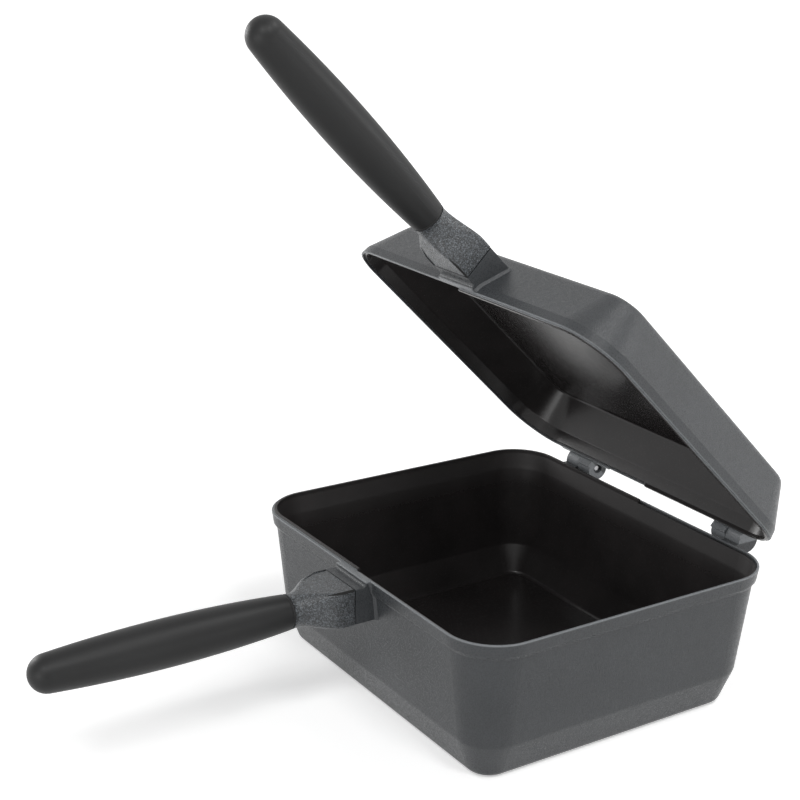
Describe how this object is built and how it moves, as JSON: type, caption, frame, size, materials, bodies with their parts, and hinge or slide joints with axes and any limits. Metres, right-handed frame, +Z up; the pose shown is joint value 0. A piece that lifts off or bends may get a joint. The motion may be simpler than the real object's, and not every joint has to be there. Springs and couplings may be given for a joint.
{
  "type": "double sided flip pan",
  "caption": "Deep rectangular pan hinged at the rear to a shallower pan that turns over onto it, each with a straight barrel handle.",
  "frame": {"origin": "centre of the flat underside of the lower pan", "axes": "+Z up, +Y to the hinge at the rear, -Y along the lower handle, +X to the right seen from the handle; stored with the upper pan 44.64 degrees open"},
  "size_m": [0.2598, 0.4564, 0.4253],
  "materials": {
    "coated_cast_aluminium": "dark grey textured non-stick coating",
    "coated_cover": "dark grey textured non-stick coating",
    "grip_plastic": "soft-touch matt black",
    "heat_ring": "matt",
    "steel": "bright",
    "brass": "turned",
    "magnet": "nickel plated"
  },
  "bodies": {
    "lower_half": {"lower_pan": "coated_cast_aluminium", "lower_handle_bracket": "coated_cast_aluminium", "lower_bracket_cover": "coated_cover", "lower_handle_magnet": "magnet", "lower_bracket_screws": "steel", "lower_grip_washer": "heat_ring", "lower_handle_stud": "steel", "lower_grip_insert": "brass", "lower_grip": "grip_plastic", "left_hinge_pin": "steel", "right_hinge_pin": "steel"},
    "upper_half": {"upper_pan": "coated_cast_aluminium", "upper_handle_bracket": "coated_cast_aluminium", "upper_bracket_cover": "coated_cover", "upper_handle_magnet": "magnet", "upper_bracket_screws": "steel", "upper_grip_washer": "heat_ring", "upper_handle_stud": "steel", "upper_grip_insert": "brass", "upper_grip": "grip_plastic"}
  },
  "joints": [
    {"name": "lid_hinge", "type": "hinge", "parent": "lower_half", "child": "upper_half", "pos_m": [0, 0.1264, 0.094], "axis": [-1, 0, 0], "range_deg": [-44.64, 60.36]}
  ]
}
